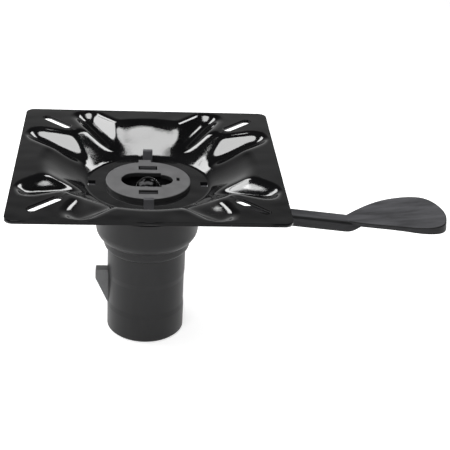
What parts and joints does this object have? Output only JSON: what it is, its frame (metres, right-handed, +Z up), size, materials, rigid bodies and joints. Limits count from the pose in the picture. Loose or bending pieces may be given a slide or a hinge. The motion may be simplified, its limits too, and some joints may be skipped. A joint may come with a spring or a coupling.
{
  "type": "swivel seat base",
  "caption": "Pressed square seat plate that swivels on a hub above a round post plug, whose sprung latch is drawn in by lifting a paddle lever at the side.",
  "frame": {"origin": "centre of the plug's foot, on the swivel axis", "axes": "+Z up along the swivel axis, +X out along the release lever"},
  "size_m": [0.2996, 0.178, 0.13],
  "materials": {
    "plate_enamel": "gloss enamel",
    "disc_grey": "fine matt",
    "hub_black": "satin",
    "housing_black": "semi-gloss",
    "plug_black": "gloss",
    "lever_black": "semi-gloss",
    "latch_grey": "satin",
    "nylon": "satin",
    "zinc_steel": "satin",
    "spring_steel": "satin"
  },
  "bodies": {
    "plug": {"post_plug": "plug_black", "lever_housing": "housing_black", "housing_screws": "zinc_steel", "pivot_bolt": "zinc_steel", "bolt_washer": "zinc_steel", "thrust_washer": "nylon", "nut_washer": "zinc_steel", "lock_nut": "zinc_steel", "lever_pivot_pin": "zinc_steel", "pivot_clip": "spring_steel", "latch_spring": "spring_steel"},
    "seat": {"seat_plate": "plate_enamel", "retaining_disc": "disc_grey", "swivel_flange": "hub_black", "flange_bush": "nylon"},
    "lever": {"release_lever": "lever_black"},
    "latch": {"latch": "latch_grey"}
  },
  "joints": [
    {"name": "seat_swivel", "type": "hinge", "parent": "plug", "child": "seat", "pos_m": [0, 0, 0.1], "axis": [0, 0, 1], "continuous": true},
    {"name": "lever_lift", "type": "hinge", "parent": "plug", "child": "lever", "pos_m": [0.022, 0, 0.0895], "axis": [0, -1, 0], "range_deg": [0, 11]},
    {"name": "latch_slide", "type": "slide", "parent": "plug", "child": "latch", "axis": [1, 0, 0], "range_m": [0, 0.0096], "stiffness_N_per_m": 400, "springref_m": -0.006, "deforming": ["latch_spring"]}
  ],
  "couplings": [
    {"joint": "latch_slide", "follows": "lever_lift", "m_per_rad": 0.04954}
  ]
}
